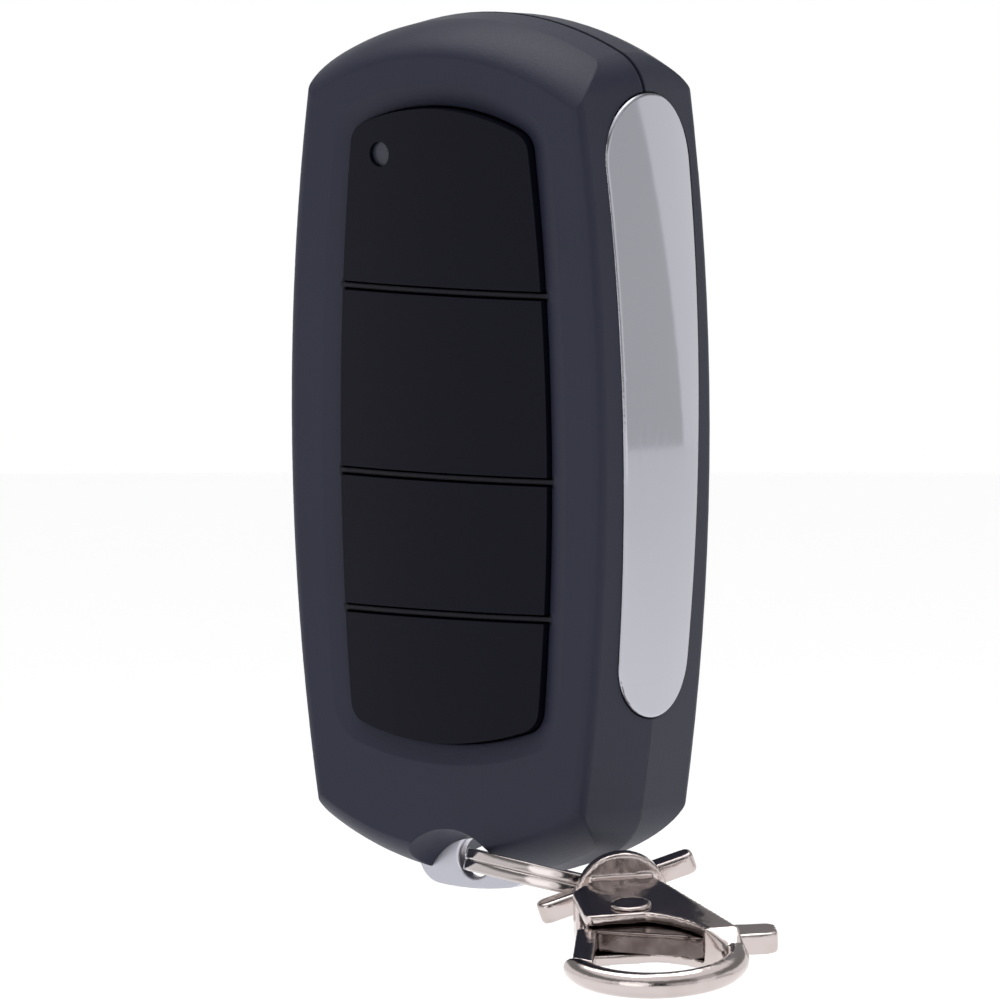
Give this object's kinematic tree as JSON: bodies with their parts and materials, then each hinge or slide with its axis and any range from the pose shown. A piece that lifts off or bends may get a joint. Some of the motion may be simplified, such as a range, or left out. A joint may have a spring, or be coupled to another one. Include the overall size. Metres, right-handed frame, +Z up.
{
  "type": "gate remote control",
  "caption": "Slim hand-held radio remote with stacked keys in a sunk window, metal side strips, a metal lug, a split ring and a swivel trigger clasp.",
  "frame": {"origin": "centre of the flat rear face of the case", "axes": "+Z up along the case, the keys face -Y, +X to the right when looking at the keys"},
  "size_m": [0.0582, 0.0384, 0.0814],
  "materials": {
    "case_grey": "satin moulded case, dark blue-grey",
    "key_black": "fine matt moulded keys, near black",
    "chrome_strip": "satin chrome plated strips",
    "nickel_plate": "nickel plated steel lug",
    "ring_steel": "nickel plated spring steel",
    "clasp_nickel": "warm nickel plated cast clasp",
    "lamp_window": "smoked clear plastic",
    "board_green": "green lacquered board",
    "part_black": "moulded black housings",
    "lamp_red": "clear red resin",
    "can_metal": "plain tinned metal",
    "copper_wire": "lacquered copper wire",
    "battery_skin": "plain shrink sleeve"
  },
  "bodies": {
    "case": {"front_shell": "case_grey", "rear_shell": "case_grey", "strip_left": "chrome_strip", "strip_right": "chrome_strip", "lug_plate": "nickel_plate", "case_screws": "can_metal", "circuit_board": "board_green", "switch_1": "part_black", "switch_2": "part_black", "switch_3": "part_black", "switch_4": "part_black", "status_lamp": "lamp_red", "encoder_chip": "part_black", "resonator": "can_metal", "transistor": "part_black", "chip_resistors": "part_black", "antenna_loop": "copper_wire", "battery": "battery_skin", "battery_contact_plus": "can_metal", "battery_contact_minus": "can_metal"},
    "key_1": {"key_1": "key_black", "light_window": "lamp_window"},
    "key_2": {"key_2": "key_black"},
    "key_3": {"key_3": "key_black"},
    "key_4": {"key_4": "key_black"},
    "plunger_1": {"switch_plunger_1": "part_black"},
    "plunger_2": {"switch_plunger_2": "part_black"},
    "plunger_3": {"switch_plunger_3": "part_black"},
    "plunger_4": {"switch_plunger_4": "part_black"},
    "ring": {"split_ring": "ring_steel"},
    "swivel": {"swivel_eye": "clasp_nickel", "swivel_post": "clasp_nickel"},
    "clasp": {"hook_body": "clasp_nickel", "trigger_rivet": "clasp_nickel", "trigger_spring": "can_metal"},
    "trigger": {"trigger": "clasp_nickel"}
  },
  "joints": [
    {"name": "key_1_press", "type": "slide", "parent": "case", "child": "key_1", "axis": [0, 0.9999, 0.0145], "range_m": [0, 0.0003], "stiffness_N_per_m": 1500, "springref_m": -0.0006},
    {"name": "key_2_press", "type": "slide", "parent": "case", "child": "key_2", "axis": [0, 0.9999, 0.0145], "range_m": [0, 0.0003], "stiffness_N_per_m": 1500, "springref_m": -0.0006},
    {"name": "key_3_press", "type": "slide", "parent": "case", "child": "key_3", "axis": [0, 0.9999, 0.0145], "range_m": [0, 0.0003], "stiffness_N_per_m": 1500, "springref_m": -0.0006},
    {"name": "key_4_press", "type": "slide", "parent": "case", "child": "key_4", "axis": [0, 0.9999, 0.0145], "range_m": [0, 0.0003], "stiffness_N_per_m": 1500, "springref_m": -0.0006},
    {"name": "plunger_1_press", "type": "slide", "parent": "case", "child": "plunger_1", "axis": [0, 0.9999, 0.0145], "range_m": [0, 0.0003]},
    {"name": "plunger_2_press", "type": "slide", "parent": "case", "child": "plunger_2", "axis": [0, 0.9999, 0.0145], "range_m": [0, 0.0003]},
    {"name": "plunger_3_press", "type": "slide", "parent": "case", "child": "plunger_3", "axis": [0, 0.9999, 0.0145], "range_m": [0, 0.0003]},
    {"name": "plunger_4_press", "type": "slide", "parent": "case", "child": "plunger_4", "axis": [0, 0.9999, 0.0145], "range_m": [0, 0.0003]},
    {"name": "ring_swing", "type": "hinge", "parent": "case", "child": "ring", "pos_m": [0, -0.0115, -0.0356], "axis": [0, 1, 0], "range_deg": [0, 75]},
    {"name": "eye_tilt", "type": "hinge", "parent": "ring", "child": "swivel", "pos_m": [0.01535, -0.01237, -0.03796], "axis": [0.7156, 0.6175, 0.3265], "range_deg": [-20, 20]},
    {"name": "clasp_spin", "type": "hinge", "parent": "swivel", "child": "clasp", "pos_m": [0.01764, -0.01561, -0.03686], "axis": [-0.6917, 0.6917, 0.2079], "continuous": true},
    {"name": "trigger_pull", "type": "hinge", "parent": "clasp", "child": "trigger", "pos_m": [0.02541, -0.02422, -0.03936], "axis": [0.1098, -0.1838, 0.9768], "range_deg": [0, 20], "stiffness_Nm_per_rad": 0.05, "springref_deg": -20.05}
  ],
  "couplings": [
    {"joint": "plunger_1_press", "follows": "key_1_press", "ratio": 1},
    {"joint": "plunger_2_press", "follows": "key_2_press", "ratio": 1},
    {"joint": "plunger_3_press", "follows": "key_3_press", "ratio": 1},
    {"joint": "plunger_4_press", "follows": "key_4_press", "ratio": 1}
  ]
}
